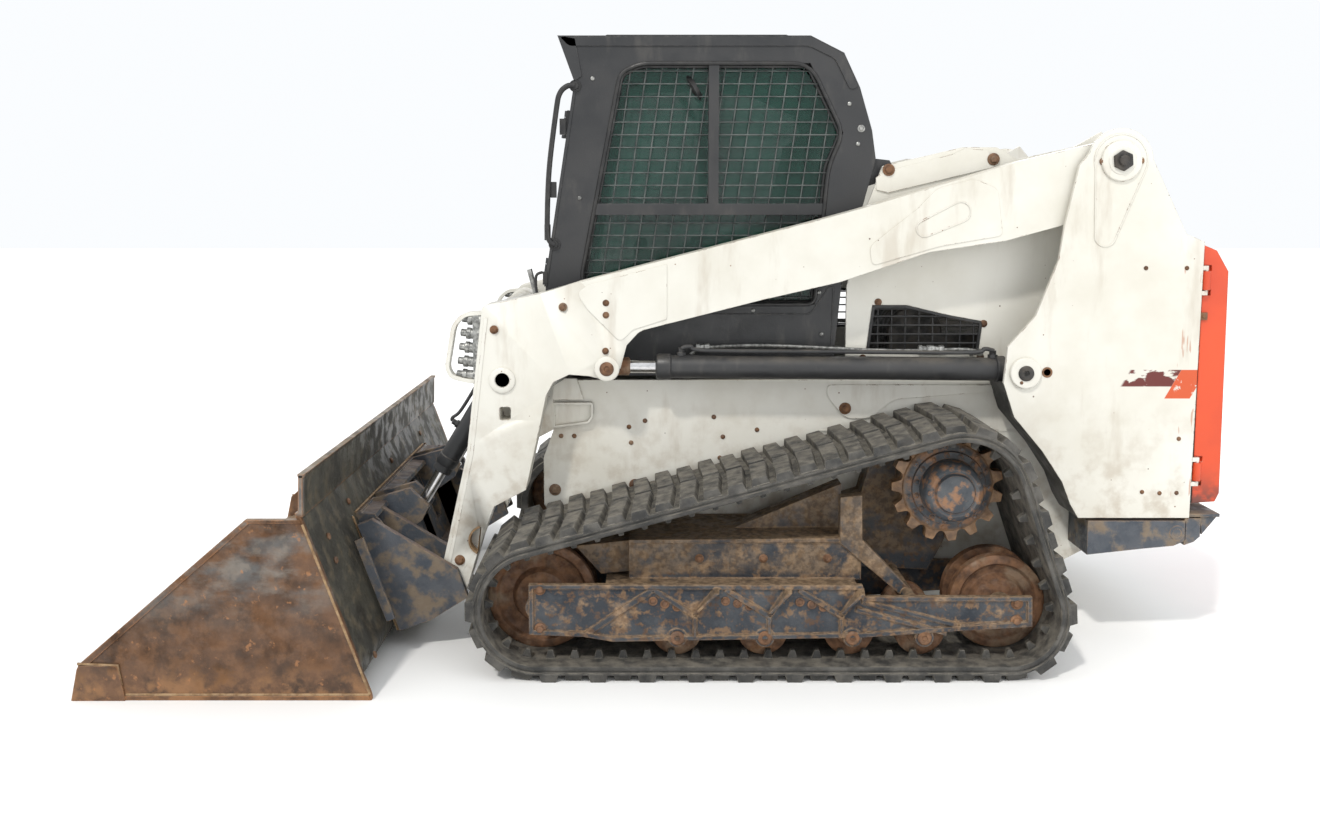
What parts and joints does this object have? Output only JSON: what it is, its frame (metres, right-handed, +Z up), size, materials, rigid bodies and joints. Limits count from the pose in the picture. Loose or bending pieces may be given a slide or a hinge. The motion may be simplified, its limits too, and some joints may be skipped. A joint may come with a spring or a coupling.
{
  "type": "compact track loader",
  "caption": "Compact track loader with radius-lift arms, a bucket on a quick-attach frame, rubber tracks, a closed cab and a rear engine bay.",
  "frame": {"origin": "on the ground, in the middle of the overall length and width", "axes": "+X forwards to the bucket's edge, +Y to the machine's left, +Z up"},
  "size_m": [3.552, 2.032, 2.0014],
  "materials": {
    "cream_paint": "satin, dusty",
    "charcoal_paint": "satin",
    "orange_paint": "satin",
    "dark_metal": "rough",
    "rusty_black": "worn paint with rust",
    "rusty_steel": "rusted",
    "rubber": "dusty rubber",
    "glass": "tinted",
    "seat_vinyl": "vinyl",
    "black_plastic": "matt",
    "chrome": "polished",
    "bucket_steel": "worn to rusty steel"
  },
  "bodies": {
    "chassis": {"hull_tub": "cream_paint", "inner_walls": "cream_paint", "uprights": "cream_paint", "engine_block": "dark_metal", "rear_bumper": "charcoal_paint", "track_left": "rubber", "track_right": "rubber", "track_frames": "rusty_black", "rollers": "rusty_steel", "final_drives": "rusty_steel"},
    "cab": {"cab_shell": "charcoal_paint", "side_panes": "glass", "seat": "seat_vinyl", "control_levers": "black_plastic"},
    "cab_door": {"door_frame": "charcoal_paint", "door_pane": "glass"},
    "tailgate": {"tailgate": "orange_paint"},
    "engine_cover": {"engine_cover": "charcoal_paint"},
    "lift_arms": {"lift_arms": "cream_paint"},
    "lift_barrels": {"lift_barrels": "charcoal_paint"},
    "lift_rods": {"lift_rods": "chrome"},
    "tilt_barrels": {"tilt_barrels": "charcoal_paint"},
    "tilt_rods": {"tilt_rods": "chrome"},
    "bucket": {"attach_frame": "charcoal_paint", "bucket_shell": "bucket_steel", "cutting_edge": "bucket_steel"}
  },
  "joints": [
    {"name": "arm_lift", "type": "hinge", "parent": "chassis", "child": "lift_arms", "pos_m": [-1.404, 0, 1.587], "axis": [0, -1, 0], "range_deg": [0, 67]},
    {"name": "bucket_tilt", "type": "hinge", "parent": "lift_arms", "child": "bucket", "pos_m": [0.725, 0, 0.198], "axis": [0, 1, 0], "range_deg": [-30, 85]},
    {"name": "lift_barrel_swing", "type": "hinge", "parent": "chassis", "child": "lift_barrels", "pos_m": [-1.124, 0, 0.914], "axis": [0, -1, 0], "range_deg": [0, 63.2]},
    {"name": "lift_rod_slide", "type": "slide", "parent": "lift_barrels", "child": "lift_rods", "axis": [1, 0, 0.0082], "range_m": [0, 0.7967]},
    {"name": "tilt_barrel_swing", "type": "hinge", "parent": "lift_arms", "child": "tilt_barrels", "pos_m": [0.543, 0, 0.96], "axis": [0, 1, 0], "range_deg": [-2, 6]},
    {"name": "tilt_rod_slide", "type": "slide", "parent": "tilt_barrels", "child": "tilt_rods", "axis": [0.5196, 0, -0.8544], "range_m": [-0.1163, 0.3258]},
    {"name": "cab_tilt", "type": "hinge", "parent": "chassis", "child": "cab", "pos_m": [-0.707, 0, 1.563], "axis": [0, 1, 0], "range_deg": [-30, 0]},
    {"name": "door_swing", "type": "hinge", "parent": "cab", "child": "cab_door", "pos_m": [0.448, 0.322, 1.106], "axis": [-0.1376, 0, 0.9905], "range_deg": [0, 100]},
    {"name": "tailgate_swing", "type": "hinge", "parent": "chassis", "child": "tailgate", "pos_m": [-1.695, 0.6, 0.9], "axis": [0, 0, -1], "range_deg": [0, 100]},
    {"name": "cover_lift", "type": "hinge", "parent": "chassis", "child": "engine_cover", "pos_m": [-0.745, 0, 1.352], "axis": [0, 1, 0], "range_deg": [0, 60]}
  ],
  "couplings": [
    {"joint": "lift_barrel_swing", "follows": "arm_lift", "ratio": 0.9364},
    {"joint": "lift_rod_slide", "follows": "arm_lift", "m_per_rad": 0.67962},
    {"joint": "tilt_barrel_swing", "follows": "bucket_tilt", "ratio": 0.06},
    {"joint": "tilt_rod_slide", "follows": "bucket_tilt", "m_per_rad": 0.21829}
  ]
}
